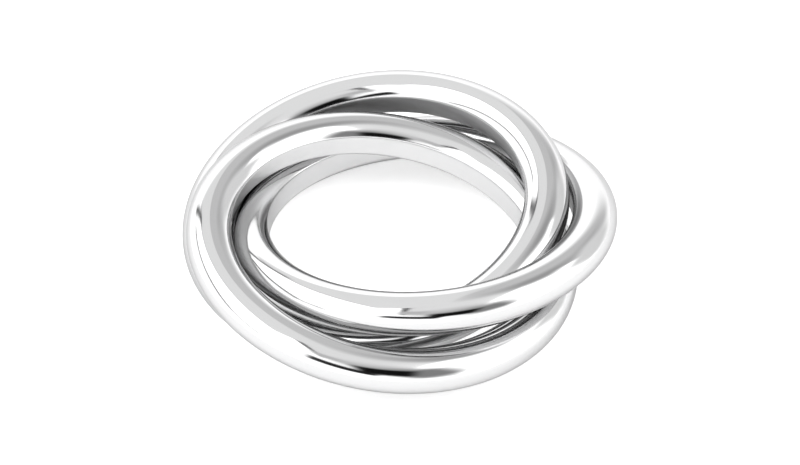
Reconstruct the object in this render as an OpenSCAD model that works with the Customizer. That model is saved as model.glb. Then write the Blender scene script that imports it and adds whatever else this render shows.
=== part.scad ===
// Rolling finger ring of three plain bands, all of one size. Each band is linked
// through the other two. The ring lies flat, its bands nested, finger hole upright.

/* [Band] */
// Inner diameter of a band
bore_d = 21.2; // [21.2:0.05:21.4]
// Thickness of a band, from its flat inside to the top of its crown
band_t = 3.05; // [2.9:0.05:3.05]
// Width of a band, from side to side
band_w = 2.9; // [2.7:0.05:2.9]
// Distance from the flat inside to the widest place of a band
belly = 1.4; // [1.4:0.05:1.5]
// Radius of the crown
crown_r = 1.25; // [1.1:0.05:1.3]
// Radius of the two edges beside the flat inside
edge_r = 0.3; // [0.15:0.05:0.4]

/* [Nest] */
// Direction in which the first band stands off the middle of the finger hole
nest_turn = 10; // [0:1:359]
// Distance of a band's middle from the middle of the finger hole
nest_offset = 2.2; // [2.19:0.01:2.21]
// Lean of a band's axis from upright
nest_lean = 9.5; // [9.4:0.1:9.6]
// Angle from a band's stand-off direction round to the direction its axis leans in
nest_lead = 94.5; // [94:0.5:95]

/* [Hidden] */
$fn = 180;
SILVER = [0.88, 0.88, 0.89];

// How each band has settled beside the even nest: what is added to its turn,
// offset, lean and lead, one row for each band
SETTLE = [
    // band,        turn, offset, lean, lead
    ["right_band", -0.5,  -0.23,  0.5,  -2.0],
    ["back_band",  -6.0,   0.01, -0.7,  -1.0],
    ["front_band",  2.0,   0.20,  0.3,   3.5]
];
TURN = 1;
OFFSET = 2;
LEAN = 3;
LEAD = 4;
BANDS = [0, 1, 2];

// Section of a band, measured from its flat inside. Each side is one arc that runs
// smoothly into the crown and into the rounded edge beside the flat.
bore_r = bore_d / 2;
crown_x = band_t - crown_r;
side_r = (pow(crown_x - belly, 2) / (band_w / 2 - crown_r) + crown_r + band_w / 2) / 2;
side_drop = side_r - band_w / 2;
edge_y = sqrt(pow(side_r - edge_r, 2) - pow(belly - edge_r, 2)) - side_drop;
crown_cut = belly + (crown_x - belly) * side_r / (side_r - crown_r);
edge_cut = belly - (belly - edge_r) * side_r / (side_r - edge_r);

// Place of each band in the nest
function turn(i) = nest_turn + 360 / len(BANDS) * i + SETTLE[i][TURN];
function lean(i) = nest_lean + SETTLE[i][LEAN];
function lean_way(i) = turn(i) + nest_lead + SETTLE[i][LEAD];
function off_x(i) = (nest_offset + SETTLE[i][OFFSET]) * cos(turn(i));
function off_y(i) = (nest_offset + SETTLE[i][OFFSET]) * sin(turn(i));

// Height of a leaning band's middle when its lowest place touches the surface
function rest_height(lean) = (bore_r + belly) * sin(lean) - side_drop * cos(lean) + side_r;

// Reach of a band from its middle along a level line, where its axis points along
// that line by the part `along` of its length
function reach(along) = (bore_r + crown_x) * sqrt(1 - along * along) + crown_r;
function reach_x(i) = reach(sin(lean(i)) * cos(lean_way(i)));
function reach_y(i) = reach(sin(lean(i)) * sin(lean_way(i)));

// Middle of the whole ring's outline, which stands over the origin
mid_x = (max([for (i = BANDS) off_x(i) + reach_x(i)]) + min([for (i = BANDS) off_x(i) - reach_x(i)])) / 2;
mid_y = (max([for (i = BANDS) off_y(i) + reach_y(i)]) + min([for (i = BANDS) off_y(i) - reach_y(i)])) / 2;

// Outline of a band's section: flat inside, rounded edges, bellied sides, round crown
module band_section() {
    translate([bore_r, 0]) {
        intersection() {
            translate([belly, -side_drop]) circle(r = side_r);
            translate([belly, side_drop]) circle(r = side_r);
            translate([edge_cut, -band_w / 2]) square([crown_cut - edge_cut, band_w]);
        }
        translate([crown_x, 0]) circle(r = crown_r);
        for (side = [-1, 1]) translate([edge_r, side * edge_y]) circle(r = edge_r);
        translate([0, -edge_y]) square([edge_cut, 2 * edge_y]);
    }
}

// One band at its place in the nest
module band(i) {
    translate([off_x(i) - mid_x, off_y(i) - mid_y, rest_height(lean(i))])
        rotate([0, 0, lean_way(i)])
            rotate([0, lean(i), 0])
                rotate_extrude() band_section();
}

module right_band() {
    color(SILVER) band(0);
}

module back_band() {
    color(SILVER) band(1);
}

module front_band() {
    color(SILVER) band(2);
}

right_band();
back_band();
front_band();
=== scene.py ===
"""Rolling finger ring of three linked bands in polished silver, lying nested on a white studio table.

All lengths are in metres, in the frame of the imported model. +Z is up, and the camera looks down along +Y.
"""
import logging
import math
from dataclasses import dataclass, field
from enum import Enum
from typing import Any, Union

import bpy
from mathutils import Matrix, Vector


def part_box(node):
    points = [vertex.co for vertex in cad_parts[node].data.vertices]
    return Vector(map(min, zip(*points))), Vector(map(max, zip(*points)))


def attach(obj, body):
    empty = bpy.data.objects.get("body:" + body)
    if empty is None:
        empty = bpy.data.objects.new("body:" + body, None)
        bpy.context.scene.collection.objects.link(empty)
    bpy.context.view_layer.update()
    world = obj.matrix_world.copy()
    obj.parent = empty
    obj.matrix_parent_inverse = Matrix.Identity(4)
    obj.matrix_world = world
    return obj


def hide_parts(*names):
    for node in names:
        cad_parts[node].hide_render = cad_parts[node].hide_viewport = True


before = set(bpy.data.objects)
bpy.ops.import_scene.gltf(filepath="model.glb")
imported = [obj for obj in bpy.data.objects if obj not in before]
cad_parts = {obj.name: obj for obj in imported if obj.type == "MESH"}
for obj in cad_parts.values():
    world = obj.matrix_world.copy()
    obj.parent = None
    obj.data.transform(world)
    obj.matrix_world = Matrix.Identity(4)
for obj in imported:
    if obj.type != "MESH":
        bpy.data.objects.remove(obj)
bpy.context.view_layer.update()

log = logging.getLogger("ring")

MM = 0.001
PHOTO_WIDTH = 800
PHOTO_HEIGHT = 465
SILVER_SLOT = "polished_silver"
OWN_PLACE = "own_place"
MERGE_DISTANCE = 0.001 * MM
WHITE = (1.0, 1.0, 1.0, 1.0)
UP = Vector((0.0, 0.0, 1.0))

Amount = Union[float, "Value"]


# Node building


class Bench:
    """Adds nodes to one node tree, which may belong to a shader, the world or Geometry Nodes."""

    def __init__(self, tree: bpy.types.NodeTree) -> None:
        """Keeps the tree that the nodes go into."""
        self.tree = tree

    def node(
        self,
        kind: str,
        settings: dict[str, Any] | None = None,
        feeds: dict[str | int, Any] | None = None,
    ) -> bpy.types.Node:
        """Adds one node.

        Args:
            kind: The node's type.
            settings: The node's own settings, set before its sockets.
            feeds: What goes into its sockets, by identifier, name or number: a value, a socket or a Value.

        Returns:
            The new node.
        """
        made = self.tree.nodes.new(kind)
        for name, setting in (settings or {}).items():
            setattr(made, name, setting)
        for name, fed in (feeds or {}).items():
            self.feed(self._socket(made, name), fed)
        return made

    def feed(self, socket: bpy.types.NodeSocket, fed: Any) -> None:
        """Puts a value or a link into a socket.

        Args:
            socket: The input that is fed.
            fed: A plain value, an output socket, a Value or an Arrow.
        """
        if isinstance(fed, (Value, Arrow)):
            fed = fed.socket
        if isinstance(fed, bpy.types.NodeSocket):
            self.tree.links.new(fed, socket)
        else:
            socket.default_value = fed

    def value(self, node: bpy.types.Node, output: str | int = 0) -> "Value":
        """Wraps a node's output as a number."""
        return Value(self, node.outputs[output])

    def _socket(self, node: bpy.types.Node, name: str | int) -> bpy.types.NodeSocket:
        """Finds an input by number, identifier or name.

        Args:
            node: The node that has the input.
            name: The input's number, identifier or name.

        Returns:
            The input.
        """
        if isinstance(name, int):
            return node.inputs[name]
        for socket in node.inputs:
            if socket.identifier == name:
                return socket
        return node.inputs[name]


class Value:
    """A number in a node tree. Python's operators on it add Math nodes."""

    def __init__(self, bench: Bench, socket: bpy.types.NodeSocket) -> None:
        """Keeps the output that carries the number."""
        self.bench = bench
        self.socket = socket

    def _math(self, operation: str, *terms: Amount) -> "Value":
        """Adds a Math node.

        Args:
            operation: The node's operation.
            terms: Its inputs in order.

        Returns:
            The result.
        """
        node = self.bench.node("ShaderNodeMath", {"operation": operation}, dict(enumerate(terms)))
        return Value(self.bench, node.outputs[0])

    def __add__(self, other: Amount) -> "Value":
        """Adds."""
        return self._math("ADD", self, other)

    def __radd__(self, other: Amount) -> "Value":
        """Adds to a plain number."""
        return self._math("ADD", other, self)

    def __sub__(self, other: Amount) -> "Value":
        """Takes away."""
        return self._math("SUBTRACT", self, other)

    def __rsub__(self, other: Amount) -> "Value":
        """Takes this from a plain number."""
        return self._math("SUBTRACT", other, self)

    def __mul__(self, other: Amount) -> "Value":
        """Multiplies."""
        return self._math("MULTIPLY", self, other)

    def __rmul__(self, other: Amount) -> "Value":
        """Multiplies a plain number."""
        return self._math("MULTIPLY", other, self)

    def __truediv__(self, other: Amount) -> "Value":
        """Divides."""
        return self._math("DIVIDE", self, other)

    def __rtruediv__(self, other: Amount) -> "Value":
        """Divides a plain number by this."""
        return self._math("DIVIDE", other, self)

    def __neg__(self) -> "Value":
        """Changes the sign."""
        return self._math("MULTIPLY", self, -1.0)

    def __abs__(self) -> "Value":
        """Drops the sign."""
        return self._math("ABSOLUTE", self)

    def sqrt(self) -> "Value":
        """Takes the square root."""
        return self._math("SQRT", self)

    def over(self, run: Amount) -> "Value":
        """Gives the angle whose rise is this number over the given run."""
        return self._math("ARCTAN2", self, run)

    def at_least(self, floor: float) -> "Value":
        """Keeps the number from falling under a floor."""
        return self._math("MAXIMUM", self, floor)

    def step(self, start: float, end: float) -> "Value":
        """Rises smoothly from 0 to 1.

        Args:
            start: Where the rise starts.
            end: Where it ends.

        Returns:
            The stepped number.
        """
        node = self.bench.node(
            "ShaderNodeMapRange",
            {"interpolation_type": "SMOOTHSTEP"},
            {"Value": self, "From Min": start, "From Max": end},
        )
        return Value(self.bench, node.outputs[0])


class Arrow:
    """A vector in a node tree."""

    def __init__(self, bench: Bench, socket: bpy.types.NodeSocket) -> None:
        """Keeps the output that carries the vector."""
        self.bench = bench
        self.socket = socket

    def dot(self, other: Vector) -> Value:
        """Gives the reach of this vector along a fixed one."""
        node = self.bench.node(
            "ShaderNodeVectorMath", {"operation": "DOT_PRODUCT"}, {0: self, 1: tuple(other)}
        )
        return Value(self.bench, node.outputs["Value"])

    def parts(self) -> tuple[Value, Value, Value]:
        """Splits the vector into its three numbers."""
        node = self.bench.node("ShaderNodeSeparateXYZ", None, {"Vector": self})
        return tuple(Value(self.bench, socket) for socket in node.outputs)

    @staticmethod
    def of(bench: Bench, x: Amount, y: Amount, z: Amount) -> "Arrow":
        """Joins three numbers into a vector."""
        return Arrow(bench, bench.node("ShaderNodeCombineXYZ", None, {"X": x, "Y": y, "Z": z}).outputs[0])


# Finishes


@dataclass(frozen=True)
class Grain:
    """A noise that is drawn long round a band, in the band's own frame with its axis along Z.

    Fields:
        along: Changes for each millimetre round the band.
        across: Changes for each millimetre across its section.
        seed: Shift that makes this noise differ from the others.
        detail: Octaves of finer noise.
    """

    along: float
    across: float
    seed: float
    detail: float

    def lay(self, bench: Bench, place: Arrow) -> Value:
        """Lays the noise out on the band.

        Args:
            bench: Where the nodes go.
            place: Place in the band's own frame.

        Returns:
            The noise, about 0.5 on average.
        """
        x, y, z = place.parts()
        outward = (x * x + y * y).sqrt()
        spot = Arrow.of(bench, x * (self.along / MM), y * (self.along / MM), outward * (self.across / MM))
        depth = z * (self.across / MM) + self.seed
        node = bench.node(
            "ShaderNodeTexNoise",
            {"noise_dimensions": "4D"},
            {"Vector": spot, "W": depth, "Scale": 1.0, "Detail": self.detail, "Roughness": 0.5},
        )
        return bench.value(node)


@dataclass(frozen=True)
class PolishedSilver:
    """Bright polished silver, with the faint marks that the polishing wheel and a drawer leave.

    Marks run round each band, so they are laid out on the band's own axis. The flat inside is duller than
    the rest, because the polishing wheel doesn't get at it as well, and its grey is painted paler than the
    rest: a painted brightening of its reflection.

    Fields:
        tone: Grey of the polished outside.
        coolness: How much more blue than red or green it mirrors.
        edge_tint: Grey of its reflection near a grazing angle.
        roughness: Roughness of the polished outside.
        bore_painted_light_tone: Grey of the flat inside, painted paler than the outside's to paint a
            brighter reflection into it.
        bore_roughness: Roughness of the flat inside.
        bore_end: Distance from the axis where the look of the inside starts to fade.
        outside_start: Distance from the axis where the look of the outside is reached.
        hairlines: Fine scratches.
        hairlines_seen: Height of the noise where a scratch starts to show, and where it is full.
        hairline_depth: Depth of the scratches.
        hairline_roughness: How much rougher a scratch is.
        rubbing: Larger places that are rubbed dull.
        rubbing_seen: Height of the noise where rubbing starts to show, and where it is full.
        rubbed_roughness: How much rougher a rubbed place is.
        wear: Part of the light that a rubbed or scratched place loses.
        swell: Slow waves that hand polishing leaves.
        swell_depth: Depth of the waves.
    """

    tone: float = 0.57
    coolness: float = 0.004
    edge_tint: float = 0.6
    roughness: float = 0.09
    # Painted light: the flat inside's grey is set paler than the outside's, which paints a brighter
    # reflection into it.
    bore_painted_light_tone: float = 0.64
    bore_roughness: float = 0.3
    bore_end: float = 10.61 * MM
    outside_start: float = 10.75 * MM
    hairlines: Grain = Grain(along=0.07, across=11.0, seed=3.0, detail=3.0)
    hairlines_seen: tuple[float, float] = (0.6, 0.82)
    hairline_depth: float = 0.00012 * MM
    hairline_roughness: float = 0.02
    rubbing: Grain = Grain(along=0.22, across=0.7, seed=11.0, detail=4.0)
    rubbing_seen: tuple[float, float] = (0.5, 0.78)
    rubbed_roughness: float = 0.03
    wear: float = 0.03
    swell: Grain = Grain(along=0.09, across=0.2, seed=23.0, detail=0.0)
    swell_depth: float = 0.004 * MM

    def make(self) -> bpy.types.Material:
        """Builds the material.

        Returns:
            The material, named after the record's slot.
        """
        material = bpy.data.materials.new(SILVER_SLOT)
        material.use_nodes = True
        material.node_tree.nodes.clear()
        bench = Bench(material.node_tree)
        own = bench.node("ShaderNodeAttribute", {"attribute_name": OWN_PLACE})
        place = Arrow(bench, own.outputs["Vector"])
        hairlines = self.hairlines.lay(bench, place)
        rubbing = self.rubbing.lay(bench, place)
        swell = self.swell.lay(bench, place)
        rubbed = rubbing.step(*self.rubbing_seen)
        scratched = hairlines.step(*self.hairlines_seen)
        x, y, _ = place.parts()
        outside = (x * x + y * y).sqrt().step(self.bore_end, self.outside_start)
        # The flat inside's paler grey is painted light that brightens its reflection.
        bare = self.bore_painted_light_tone + outside * (self.tone - self.bore_painted_light_tone)
        tone = bare * (1.0 - rubbed * self.wear - scratched * self.wear)
        polish = self.bore_roughness + outside * (self.roughness - self.bore_roughness)
        waved = bench.node(
            "ShaderNodeBump", None, {"Strength": 1.0, "Distance": self.swell_depth, "Height": swell}
        )
        marked = bench.node(
            "ShaderNodeBump",
            None,
            {
                "Strength": 1.0,
                "Distance": self.hairline_depth,
                "Height": hairlines,
                "Normal": waved.outputs[0],
            },
        )
        surface = bench.node(
            "ShaderNodeBsdfPrincipled",
            None,
            {
                "Base Color": Arrow.of(bench, tone, tone, tone * (1.0 + self.coolness)),
                "Metallic": 1.0,
                "Roughness": polish + rubbed * self.rubbed_roughness + scratched * self.hairline_roughness,
                "Specular Tint": (self.edge_tint, self.edge_tint, self.edge_tint, 1.0),
                "Normal": marked.outputs[0],
            },
        )
        bench.node("ShaderNodeOutputMaterial", None, {"Surface": surface.outputs[0]})
        return material


@dataclass(frozen=True)
class WhiteTable:
    """The matt white sheet that the ring lies on, which glows a little as a light table does.

    Fields:
        tone: Grey of the sheet.
        glow: Strength of the light that it gives off.
        roughness: Roughness of the sheet.
        fibre_scale: Fibres for each metre.
        fibre_shade: How much darker a fibre is.
    """

    tone: float = 0.75
    glow: float = 0.45
    roughness: float = 0.9
    fibre_scale: float = 900.0
    fibre_shade: float = 0.02

    def make(self) -> bpy.types.Material:
        """Builds the material.

        Returns:
            The material of the table.
        """
        material = bpy.data.materials.new("white_table")
        material.use_nodes = True
        material.node_tree.nodes.clear()
        bench = Bench(material.node_tree)
        where = bench.node("ShaderNodeTexCoord")
        fibres = bench.node(
            "ShaderNodeTexNoise", None, {"Vector": where.outputs["Object"], "Scale": self.fibre_scale}
        )
        tone = self.tone - bench.value(fibres) * self.fibre_shade
        surface = bench.node(
            "ShaderNodeBsdfPrincipled",
            None,
            {
                "Base Color": Arrow.of(bench, tone, tone, tone),
                "Roughness": self.roughness,
                "Specular IOR Level": 0.0,
                "Emission Color": WHITE,
                "Emission Strength": self.glow,
            },
        )
        bench.node("ShaderNodeOutputMaterial", None, {"Surface": surface.outputs[0]})
        return material


# The ring


class Member(Enum):
    """The three bands, each named for the side where it stands furthest out."""

    RIGHT = "right_band"
    BACK = "back_band"
    FRONT = "front_band"


@dataclass(frozen=True)
class Section:
    """Cross-section that all three bands share, measured from the flat inside.

    Each side is one arc that runs smoothly into the crown and into the rounded edge beside the flat.

    Fields:
        bore_radius: Radius of the flat inside.
        thickness: From the flat inside to the top of the crown.
        width: From side to side.
        belly: From the flat inside to the widest place.
        crown_radius: Radius of the crown.
        edge_radius: Radius of the rounded edges beside the flat.
    """

    bore_radius: float = 10.6 * MM
    thickness: float = 3.05 * MM
    width: float = 2.9 * MM
    belly: float = 1.4 * MM
    crown_radius: float = 1.25 * MM
    edge_radius: float = 0.3 * MM

    @staticmethod
    def side(thickness: Amount, width: Amount, belly: Amount, crown_radius: Amount) -> tuple[Amount, Amount]:
        """Works out the arc of a bellied side, from plain numbers or from numbers in a node tree.

        Args:
            thickness: From the flat inside to the top of the crown.
            width: From side to side.
            belly: From the flat inside to the widest place.
            crown_radius: Radius of the crown.

        Returns:
            The arc's radius, and how far its middle lies past the band's middle plane.
        """
        rise = thickness - crown_radius - belly
        half = width / 2
        radius = (rise * rise / (half - crown_radius) + crown_radius + half) / 2
        return radius, radius - half

    def reach(self, along: float) -> float:
        """Gives a band's reach from its middle along a level line.

        Args:
            along: The part of the axis's length that points along that line.

        Returns:
            The reach in metres.
        """
        ring = self.bore_radius + self.thickness - self.crown_radius
        return ring * math.sqrt(1 - along * along) + self.crown_radius


@dataclass(frozen=True)
class Seat:
    """How one band lies in the nest.

    Fields:
        turn: Direction in which it stands off the middle of the finger hole, in degrees.
        offset: How far it stands off.
        lean: Lean of its axis from upright, in degrees.
        way: Direction that the axis leans in, in degrees.
    """

    turn: float
    offset: float
    lean: float
    way: float

    def axis(self) -> Vector:
        """Gives the direction of the band's axis."""
        lean, way = math.radians(self.lean), math.radians(self.way)
        return Vector((math.sin(lean) * math.cos(way), math.sin(lean) * math.sin(way), math.cos(lean)))

    def level_middle(self) -> Vector:
        """Gives the band's middle from the middle of the finger hole, left at no height."""
        turn = math.radians(self.turn)
        return Vector((self.offset * math.cos(turn), self.offset * math.sin(turn), 0.0))

    def height(self, section: Section) -> float:
        """Gives the height of the band's middle when its lowest place touches the table."""
        radius, drop = Section.side(section.thickness, section.width, section.belly, section.crown_radius)
        lean = math.radians(self.lean)
        return (section.bore_radius + section.belly) * math.sin(lean) - drop * math.cos(lean) + radius


@dataclass
class BandMaker:
    """Sweeps the section round an axis with Geometry Nodes, and sets the band down at its seat.

    Fields:
        section: Cross-section of the bands.
        steps_round: Faces round a band.
        crown_steps: Points over the crown.
        side_steps: Points down each bellied side.
        edge_steps: Points round each rounded edge.
        flat_steps: Points across the flat inside.
        tree: The node tree, once it is made.
    """

    section: Section = field(default_factory=Section)
    steps_round: int = 1024
    crown_steps: int = 25
    side_steps: int = 13
    edge_steps: int = 8
    flat_steps: int = 9
    tree: bpy.types.NodeTree | None = None

    SIZES = ("Bore radius", "Thickness", "Width", "Belly", "Crown radius", "Edge radius")

    def make_tree(self) -> bpy.types.NodeTree:
        """Builds the tree that all three bands use.

        Returns:
            The tree.
        """
        tree = bpy.data.node_groups.new("band_sweep", "GeometryNodeTree")
        for name in self.SIZES:
            tree.interface.new_socket(name=name, in_out="INPUT", socket_type="NodeSocketFloat")
        for name, kind in (
            ("Steps round", "NodeSocketInt"),
            ("Middle", "NodeSocketVector"),
            ("Lean", "NodeSocketVector"),
            ("Finish", "NodeSocketMaterial"),
        ):
            tree.interface.new_socket(name=name, in_out="INPUT", socket_type=kind)
        tree.interface.new_socket(name="Band", in_out="OUTPUT", socket_type="NodeSocketGeometry")
        bench = Bench(tree)
        given = bench.node("NodeGroupInput")
        bore, thickness, width, belly, crown, edge = (bench.value(given, name) for name in self.SIZES)
        outline = self._outline(bench, thickness, width, belly, crown, edge)
        path = bench.node(
            "GeometryNodeCurvePrimitiveCircle",
            None,
            {"Resolution": given.outputs["Steps round"], "Radius": bore},
        )
        upright = bench.node("GeometryNodeSetCurveNormal", {"mode": "Z_UP"}, {"Curve": path.outputs[0]})
        sweep = bench.node(
            "GeometryNodeCurveToMesh", None, {"Curve": upright.outputs[0], "Profile Curve": outline}
        )
        closed = bench.node(
            "GeometryNodeMergeByDistance", None, {"Geometry": sweep.outputs[0], "Distance": MERGE_DISTANCE}
        )
        facing = bench.node("GeometryNodeFlipFaces", None, {"Mesh": closed.outputs[0]})
        kept = bench.node(
            "GeometryNodeStoreNamedAttribute",
            {"data_type": "FLOAT_VECTOR", "domain": "POINT"},
            {
                "Geometry": facing.outputs[0],
                "Name": OWN_PLACE,
                "Value": bench.node("GeometryNodeInputPosition").outputs[0],
            },
        )
        turn = bench.node("FunctionNodeEulerToRotation", None, {"Euler": given.outputs["Lean"]})
        seated = bench.node(
            "GeometryNodeTransform",
            None,
            {
                "Geometry": kept.outputs[0],
                "Translation": given.outputs["Middle"],
                "Rotation": turn.outputs[0],
            },
        )
        smooth = bench.node("GeometryNodeSetShadeSmooth", None, {"Geometry": seated.outputs[0]})
        whole = bench.node("GeometryNodeRealizeInstances", None, {"Geometry": smooth.outputs[0]})
        dressed = bench.node(
            "GeometryNodeSetMaterial",
            None,
            {"Geometry": whole.outputs[0], "Material": given.outputs["Finish"]},
        )
        bench.node("NodeGroupOutput", None, {0: dressed.outputs[0]})
        return tree

    def _outline(
        self, bench: Bench, thickness: Value, width: Value, belly: Value, crown: Value, edge: Value
    ) -> bpy.types.NodeSocket:
        """Draws the section as arcs and a line, with the flat inside at no distance.

        Args:
            bench: Where the nodes go.
            thickness: From the flat inside to the top of the crown.
            width: From side to side.
            belly: From the flat inside to the widest place.
            crown: Radius of the crown.
            edge: Radius of the rounded edges.

        Returns:
            The curves, each one running on from the last.
        """
        side, drop = Section.side(thickness, width, belly, crown)
        crown_place = thickness - crown
        reach, lean = side - edge, belly - edge
        edge_height = (reach * reach - lean * lean).sqrt() - drop
        crown_turn = drop.over(crown_place - belly)
        edge_turn = (edge_height + drop).over(edge - belly)
        parts = [
            self._arc(bench, crown_place, 0.0, crown, -crown_turn, crown_turn * 2.0, self.crown_steps),
            self._arc(bench, belly, -drop, side, crown_turn, edge_turn - crown_turn, self.side_steps),
            self._arc(bench, edge, edge_height, edge, edge_turn, math.pi - edge_turn, self.edge_steps),
            self._flat(bench, edge_height),
            self._arc(bench, edge, -edge_height, edge, math.pi, math.pi - edge_turn, self.edge_steps),
            self._arc(bench, belly, drop, side, -edge_turn, edge_turn - crown_turn, self.side_steps),
        ]
        joined = bench.node("GeometryNodeJoinGeometry")
        for part in reversed(parts):
            bench.tree.links.new(part, joined.inputs[0])
        return joined.outputs[0]

    def _arc(
        self, bench: Bench, out: Amount, up: Amount, radius: Value, start: Amount, sweep: Amount, steps: int
    ) -> bpy.types.NodeSocket:
        """Draws one arc of the section.

        Args:
            bench: Where the nodes go.
            out: Its middle, from the flat inside.
            up: Its middle, from the band's middle plane.
            radius: Its radius.
            start: Direction in which it starts.
            sweep: Angle that it turns through.
            steps: Number of points.

        Returns:
            The curve.
        """
        arc = bench.node(
            "GeometryNodeCurveArc",
            {"mode": "RADIUS"},
            {"Resolution": steps, "Radius": radius, "Start Angle": start, "Sweep Angle": sweep},
        )
        moved = bench.node(
            "GeometryNodeTransform",
            None,
            {"Geometry": arc.outputs[0], "Translation": Arrow.of(bench, out, up, 0.0)},
        )
        return moved.outputs[0]

    def _flat(self, bench: Bench, height: Value) -> bpy.types.NodeSocket:
        """Draws the flat inside.

        Args:
            bench: Where the nodes go.
            height: Half of its width.

        Returns:
            The curve, cut into even steps.
        """
        line = bench.node(
            "GeometryNodeCurvePrimitiveLine",
            {"mode": "POINTS"},
            {"Start": Arrow.of(bench, 0.0, height, 0.0), "End": Arrow.of(bench, 0.0, -height, 0.0)},
        )
        cut = bench.node(
            "GeometryNodeResampleCurve", None, {"Curve": line.outputs[0], "Count": self.flat_steps}
        )
        return cut.outputs[0]

    def make(self, name: str, middle: Vector, seat: Seat, finish: bpy.types.Material) -> bpy.types.Object:
        """Builds one band as a plain mesh.

        Args:
            name: Name of the piece.
            middle: Middle of the band.
            seat: How it lies.
            finish: Its material.

        Returns:
            The piece, at the origin, with its place in its mesh.
        """
        if self.tree is None:
            self.tree = self.make_tree()
        section = self.section
        piece = bpy.data.objects.new(name, bpy.data.meshes.new(name))
        bpy.context.scene.collection.objects.link(piece)
        modifier = piece.modifiers.new("sweep", "NODES")
        modifier.node_group = self.tree
        entries = {
            "Bore radius": section.bore_radius,
            "Thickness": section.thickness,
            "Width": section.width,
            "Belly": section.belly,
            "Crown radius": section.crown_radius,
            "Edge radius": section.edge_radius,
            "Steps round": self.steps_round,
            "Middle": tuple(middle),
            "Lean": (0.0, math.radians(seat.lean), math.radians(seat.way)),
            "Finish": finish,
        }
        for item in self.tree.interface.items_tree:
            if item.in_out == "INPUT":
                modifier[item.identifier] = entries[item.name]
        depsgraph = bpy.context.evaluated_depsgraph_get()
        mesh = bpy.data.meshes.new_from_object(piece.evaluated_get(depsgraph), depsgraph=depsgraph)
        piece.modifiers.remove(modifier)
        piece.data = mesh
        mesh.name = name
        return piece


@dataclass
class RollingRing:
    """The ring: three bands of one size, each linked through the other two.

    Fields:
        maker: What makes the bands.
        finish: Finish of the bands.
        seats: How each band lies.
    """

    maker: BandMaker = field(default_factory=BandMaker)
    finish: PolishedSilver = field(default_factory=PolishedSilver)
    seats: dict[Member, Seat] = field(
        default_factory=lambda: {
            Member.RIGHT: Seat(turn=9.5, offset=1.97 * MM, lean=10.0, way=102.0),
            Member.BACK: Seat(turn=124.0, offset=2.21 * MM, lean=8.8, way=217.5),
            Member.FRONT: Seat(turn=252.0, offset=2.40 * MM, lean=9.8, way=350.0),
        }
    )

    def outline_middle(self) -> Vector:
        """Finds the middle of the whole ring's outline, which stands over the origin.

        Returns:
            That middle, from the middle of the finger hole.
        """
        section = self.maker.section
        seats = self.seats.values()
        middle = Vector((0.0, 0.0, 0.0))
        for i in range(2):
            highest = max(seat.level_middle()[i] + section.reach(seat.axis()[i]) for seat in seats)
            lowest = min(seat.level_middle()[i] - section.reach(seat.axis()[i]) for seat in seats)
            middle[i] = (highest + lowest) / 2
        return middle

    def build(self) -> list[bpy.types.Object]:
        """Builds and dresses the three bands.

        Returns:
            The pieces.
        """
        silver = self.finish.make()
        shift = self.outline_middle()
        pieces = []
        for member, seat in self.seats.items():
            middle = seat.level_middle() - shift
            middle.z = seat.height(self.maker.section)
            piece = self.maker.make(f"{member.value}_polished", middle, seat, silver)
            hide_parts(member.value)
            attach(piece, member.value)
            self._report(piece, member)
            pieces.append(piece)
        return pieces

    def _report(self, piece: bpy.types.Object, member: Member) -> None:
        """Logs a band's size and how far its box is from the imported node's.

        Args:
            piece: The finished band.
            member: Which band it is.
        """
        corners = [vertex.co for vertex in piece.data.vertices]
        low = Vector([min(co[i] for co in corners) for i in range(3)])
        high = Vector([max(co[i] for co in corners) for i in range(3)])
        cad_low, cad_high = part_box(member.value)
        off = max(max(abs(low[i] - cad_low[i]), abs(high[i] - cad_high[i])) for i in range(3))
        faces = len(piece.data.polygons)
        log.info("%s: %d faces, box within %.4f mm of the node's", piece.name, faces, off / MM)


# The studio


@dataclass(frozen=True)
class Card:
    """A flat softbox or flag of the studio, seen from the ring.

    Fields:
        name: What it is.
        azimuth: Direction of its middle in degrees, from the back round by the right.
        height: Height of its middle above the table, in degrees.
        roll: Turn of its own sides in degrees.
        half_width: Half its width, where its distance is 1.
        half_height: Half its height, where its distance is 1.
        blur: Width of its soft border, where its distance is 1.
        glow: Its radiance.
        least_depth: Least depth that a place on its plane is worked out with.
        back_fade: Depth over which it fades in, so that nothing shows behind its plane.
    """

    name: str
    azimuth: float
    height: float
    roll: float
    half_width: float
    half_height: float
    blur: float
    glow: float
    least_depth: float = 0.001
    back_fade: float = 0.02

    def frame(self) -> tuple[Vector, Vector, Vector]:
        """Works out how the card stands.

        Returns:
            The directions to its middle, to its right and to its top.
        """
        azimuth = math.radians(self.azimuth)
        height = math.radians(self.height)
        roll = math.radians(self.roll)
        ahead = Vector(
            (math.sin(azimuth) * math.cos(height), math.cos(azimuth) * math.cos(height), math.sin(height))
        )
        level = Vector((math.cos(azimuth), -math.sin(azimuth), 0.0))
        rise = level.cross(ahead)
        right = math.cos(roll) * level + math.sin(roll) * rise
        return ahead, right, math.cos(roll) * rise - math.sin(roll) * level

    def cover(self, look: Arrow) -> Value:
        """Says how much the card covers each direction.

        Args:
            look: The direction that is looked in.

        Returns:
            1 on the card, 0 off it, and between the two on its soft border.
        """
        ahead, right, top = self.frame()
        depth = look.dot(ahead)
        away = depth.at_least(self.least_depth)
        soft = self.blur / 2
        across = abs(look.dot(right) / away).step(self.half_width - soft, self.half_width + soft)
        upward = abs(look.dot(top) / away).step(self.half_height - soft, self.half_height + soft)
        return (1.0 - across) * (1.0 - upward) * depth.step(0.0, self.back_fade)


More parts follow.
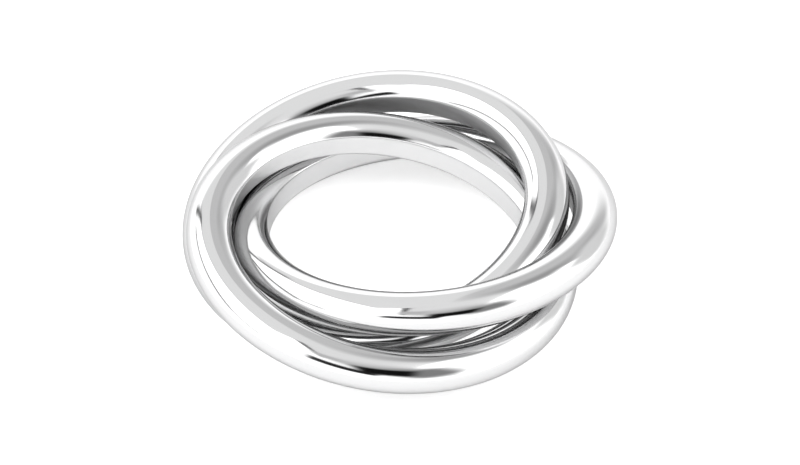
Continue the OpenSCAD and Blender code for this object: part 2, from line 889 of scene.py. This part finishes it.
@dataclass(frozen=True)
class Viewpoint:
    """The camera, set up as the photograph's was.

    Fields:
        elevation: How far it looks down, in degrees.
        distance: From the camera to the point that it looks at.
        target: That point.
        roll: Turn of the picture in degrees.
        zoom: Pixels for each millimetre at the target.
        middle_x: Pixel column of the target.
        middle_y: Pixel row of the target.
        sensor_width: Width of the picture in the camera, in millimetres.
        nearest: Nearest thing that it sees.
        furthest: Furthest thing that it sees.
    """

    elevation: float = 40.57
    distance: float = 241.7 * MM
    target: tuple[float, float, float] = (-0.395 * MM, 0.249 * MM, 3.4 * MM)
    roll: float = -1.65
    zoom: float = 14.4
    middle_x: float = 393.05
    middle_y: float = 226.74
    sensor_width: float = 36.0
    nearest: float = 10.0 * MM
    furthest: float = 10.0

    def build(self) -> None:
        """Makes the scene's camera."""
        down, roll = math.radians(self.elevation), math.radians(self.roll)
        ahead = Vector((0.0, math.cos(down), -math.sin(down)))
        level = Vector((1.0, 0.0, 0.0))
        rise = Vector((0.0, math.sin(down), math.cos(down)))
        right = math.cos(roll) * level + math.sin(roll) * rise
        top = math.cos(roll) * rise - math.sin(roll) * level
        data = bpy.data.cameras.new("camera")
        data.sensor_width = self.sensor_width
        data.lens = self.sensor_width * self.zoom * (self.distance / MM) / PHOTO_WIDTH
        data.shift_x = (PHOTO_WIDTH / 2 - self.middle_x) / PHOTO_WIDTH
        data.shift_y = (self.middle_y - PHOTO_HEIGHT / 2) / PHOTO_WIDTH
        data.clip_start = self.nearest
        data.clip_end = self.furthest
        camera = bpy.data.objects.new("camera", data)
        turn = Matrix((right, top, -ahead)).transposed().to_4x4()
        camera.matrix_world = Matrix.Translation(Vector(self.target) - ahead * self.distance) @ turn
        bpy.context.scene.collection.objects.link(camera)
        bpy.context.scene.camera = camera


@dataclass
class Studio:
    """A white light tent with softboxes and flags, and a white table.

    Fields:
        table_side: Side of the square table.
        side_glow: Radiance of the tent's sides.
        top_glow: Radiance of the tent's top.
        top_start: Sine of the height where the glow starts to turn into the top's.
        top_full: Sine of the height where it is the top's.
        picture_gamma: Contrast of the picture, softer below 1.
        picture_exposure: Brightness of the picture, in stops.
        light_bounces: Most times that light is followed from one thing to the next.
        mirror_bounces: Most of those that may be mirrored.
        diffuse_bounces: Most of those that may be scattered.
        finish: Finish of the table.
        viewpoint: The camera.
        cards: Softboxes and flags, each one in front of those before it.
    """

    table_side: float = 6.0
    side_glow: float = 1.7
    top_glow: float = 1.15
    top_start: float = 0.78
    top_full: float = 0.97
    picture_gamma: float = 0.84
    picture_exposure: float = 0.2
    light_bounces: int = 12
    mirror_bounces: int = 4
    diffuse_bounces: int = 4
    finish: WhiteTable = field(default_factory=WhiteTable)
    viewpoint: Viewpoint = field(default_factory=Viewpoint)
    cards: tuple[Card, ...] = (
        Card("grey flag at the back right", 36, 43, 36, 0.5, 0.55, 0.35, 0.87),
        Card("dark bar at the back right", 47, 36, 35, 0.32, 0.12, 0.25, 0.72),
        Card("softbox at the right", 99, 32, -6, 0.62, 0.6, 0.08, 2.6),
        Card("grey veil at the right", 59, 20, 0, 0.3, 0.28, 0.25, 1.05),
        Card("dark flag at the right of the top", 54, 54, 0, 0.2, 0.2, 0.3, 0.56),
        Card("soft shade at the front", 160, 58, 0, 0.3, 0.18, 0.35, 0.8),
        Card("grey flag at the front right", 140, 38, 0, 0.26, 0.32, 0.3, 0.4),
        Card("frame of the left softbox", 280, 56, 0, 0.76, 0.525, 0.04, 0.05),
        Card("left softbox", 280, 56, 0, 0.8, 0.465, 0.04, 2.2),
        Card("edge of the ceiling panel", 337, 61, 17, 0.25, 0.59, 0.03, 0.6),
        Card("ceiling panel", 340, 61, 15, 0.25, 0.6, 0.03, 1.15),
        Card("soft fill at the front", 196, 62, 0, 0.12, 0.11, 0.14, 0.8),
        Card("black flag at the front", 163, 43, 14, 0.23, 0.2, 0.14, 0.01),
        Card("low black flag at the front left", 190, 37, 19, 0.3, 0.1, 0.08, 0.03),
        Card("dark pole at the back left", 328, 28, -20, 0.03, 0.2, 0.05, 0.2),
    )

    def build(self) -> None:
        """Builds the tent, the table and the camera."""
        self._table()
        self._tent()
        self.viewpoint.build()
        scene = bpy.context.scene
        scene.view_settings.view_transform = "Standard"
        scene.view_settings.gamma = self.picture_gamma
        scene.view_settings.exposure = self.picture_exposure
        scene.cycles.max_bounces = self.light_bounces
        scene.cycles.glossy_bounces = self.mirror_bounces
        scene.cycles.diffuse_bounces = self.diffuse_bounces
        log.info("studio: %d cards", len(self.cards))

    def _table(self) -> None:
        """Builds the table as one level sheet, which is no part of the ring."""
        half = self.table_side / 2
        mesh = bpy.data.meshes.new("table")
        corners = [(-half, -half, 0.0), (half, -half, 0.0), (half, half, 0.0), (-half, half, 0.0)]
        mesh.from_pydata(corners, [], [(0, 1, 2, 3)])
        mesh.materials.append(self.finish.make())
        table = bpy.data.objects.new("table", mesh)
        bpy.context.scene.collection.objects.link(table)

    def _tent(self) -> None:
        """Builds the light of the tent, its softboxes and its flags."""
        world = bpy.data.worlds.new("tent")
        bpy.context.scene.world = world
        world.use_nodes = True
        world.node_tree.nodes.clear()
        bench = Bench(world.node_tree)
        look = Arrow(bench, bench.node("ShaderNodeTexCoord").outputs["Generated"])
        top = look.dot(UP).step(self.top_start, self.top_full)
        glow = self.side_glow + top * (self.top_glow - self.side_glow)
        for card in self.cards:
            glow = glow + (card.glow - glow) * card.cover(look)
        light = bench.node(
            "ShaderNodeBackground", None, {"Color": Arrow.of(bench, glow, glow, glow), "Strength": 1.0}
        )
        bench.node("ShaderNodeOutputWorld", None, {"Surface": light.outputs[0]})


def main() -> None:
    """Builds the ring and its studio."""
    logging.basicConfig(level=logging.INFO, format="%(name)s: %(message)s")
    pieces = RollingRing().build()
    log.info("ring: %d pieces", len(pieces))
    Studio().build()


if __name__ == "__main__":
    main()
